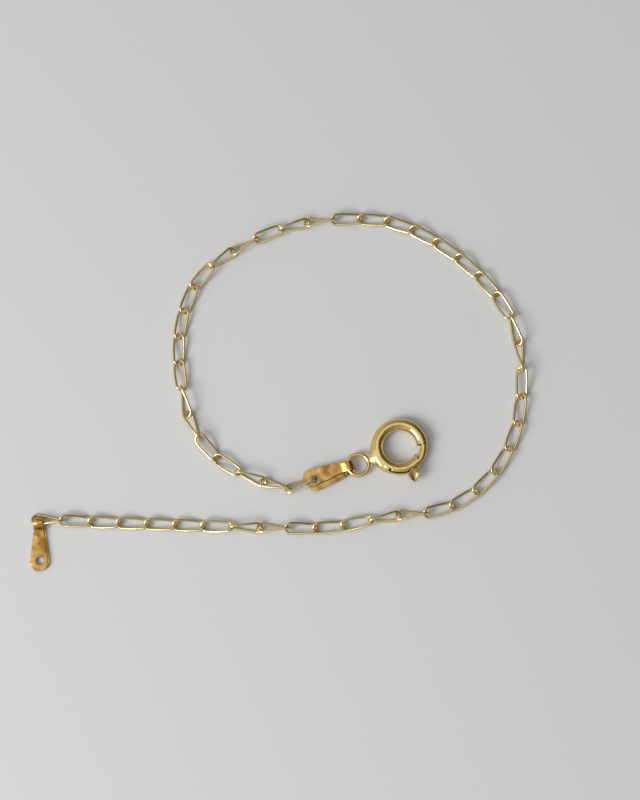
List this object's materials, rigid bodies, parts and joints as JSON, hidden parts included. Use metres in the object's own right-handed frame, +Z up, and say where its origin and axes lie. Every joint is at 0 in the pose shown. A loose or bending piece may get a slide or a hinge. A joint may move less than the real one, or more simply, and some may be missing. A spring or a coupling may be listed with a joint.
{
  "type": "curb chain bracelet",
  "caption": "Fine gold curb chain bracelet with a bolt ring clasp and folded tags, open and lying flat.",
  "frame": {"origin": "middle of the bracelet's bounding box, on the surface it lies on", "axes": "+X towards the right of the loop, where the clasp's mouth is; +Y away from the free end; +Z up from the surface"},
  "size_m": [0.0606, 0.0446, 0.0018],
  "materials": {
    "chain_gold": "polished yellow gold wire",
    "clasp_gold": "polished yellow gold tube",
    "tag_gold": "polished yellow gold sheet, lightly worn"
  },
  "bodies": {
    "bracelet": {"link_01": "chain_gold", "link_02": "chain_gold", "link_03": "chain_gold", "link_04": "chain_gold", "link_05": "chain_gold", "link_06": "chain_gold", "link_07": "chain_gold", "link_08": "chain_gold", "link_09": "chain_gold", "link_10": "chain_gold", "link_11": "chain_gold", "link_12": "chain_gold", "link_13": "chain_gold", "link_14": "chain_gold", "link_15": "chain_gold", "link_16": "chain_gold", "link_17": "chain_gold", "link_18": "chain_gold", "link_19": "chain_gold", "link_20": "chain_gold", "link_21": "chain_gold", "link_22": "chain_gold", "link_23": "chain_gold", "link_24": "chain_gold", "link_25": "chain_gold", "link_26": "chain_gold", "link_27": "chain_gold", "link_28": "chain_gold", "link_29": "chain_gold", "link_30": "chain_gold", "link_31": "chain_gold", "link_32": "chain_gold", "link_33": "chain_gold", "link_34": "chain_gold", "link_35": "chain_gold", "link_36": "chain_gold", "link_37": "chain_gold", "link_38": "chain_gold", "link_39": "chain_gold", "link_40": "chain_gold", "link_41": "chain_gold", "link_42": "chain_gold", "link_43": "chain_gold", "link_44": "chain_gold", "link_45": "chain_gold", "link_46": "chain_gold", "link_47": "chain_gold", "link_48": "chain_gold", "clasp_tag": "tag_gold", "clasp_body": "clasp_gold", "end_tag": "tag_gold"},
    "bolt": {"clasp_bolt": "clasp_gold"}
  },
  "joints": [
    {"name": "bolt_slide", "type": "hinge", "parent": "bracelet", "child": "bolt", "pos_m": [0.01453, -0.00713, 0.00073], "axis": [0, 0, 1], "range_deg": [-50, 0], "stiffness_Nm_per_rad": 0.002, "springref_deg": 17.19}
  ]
}
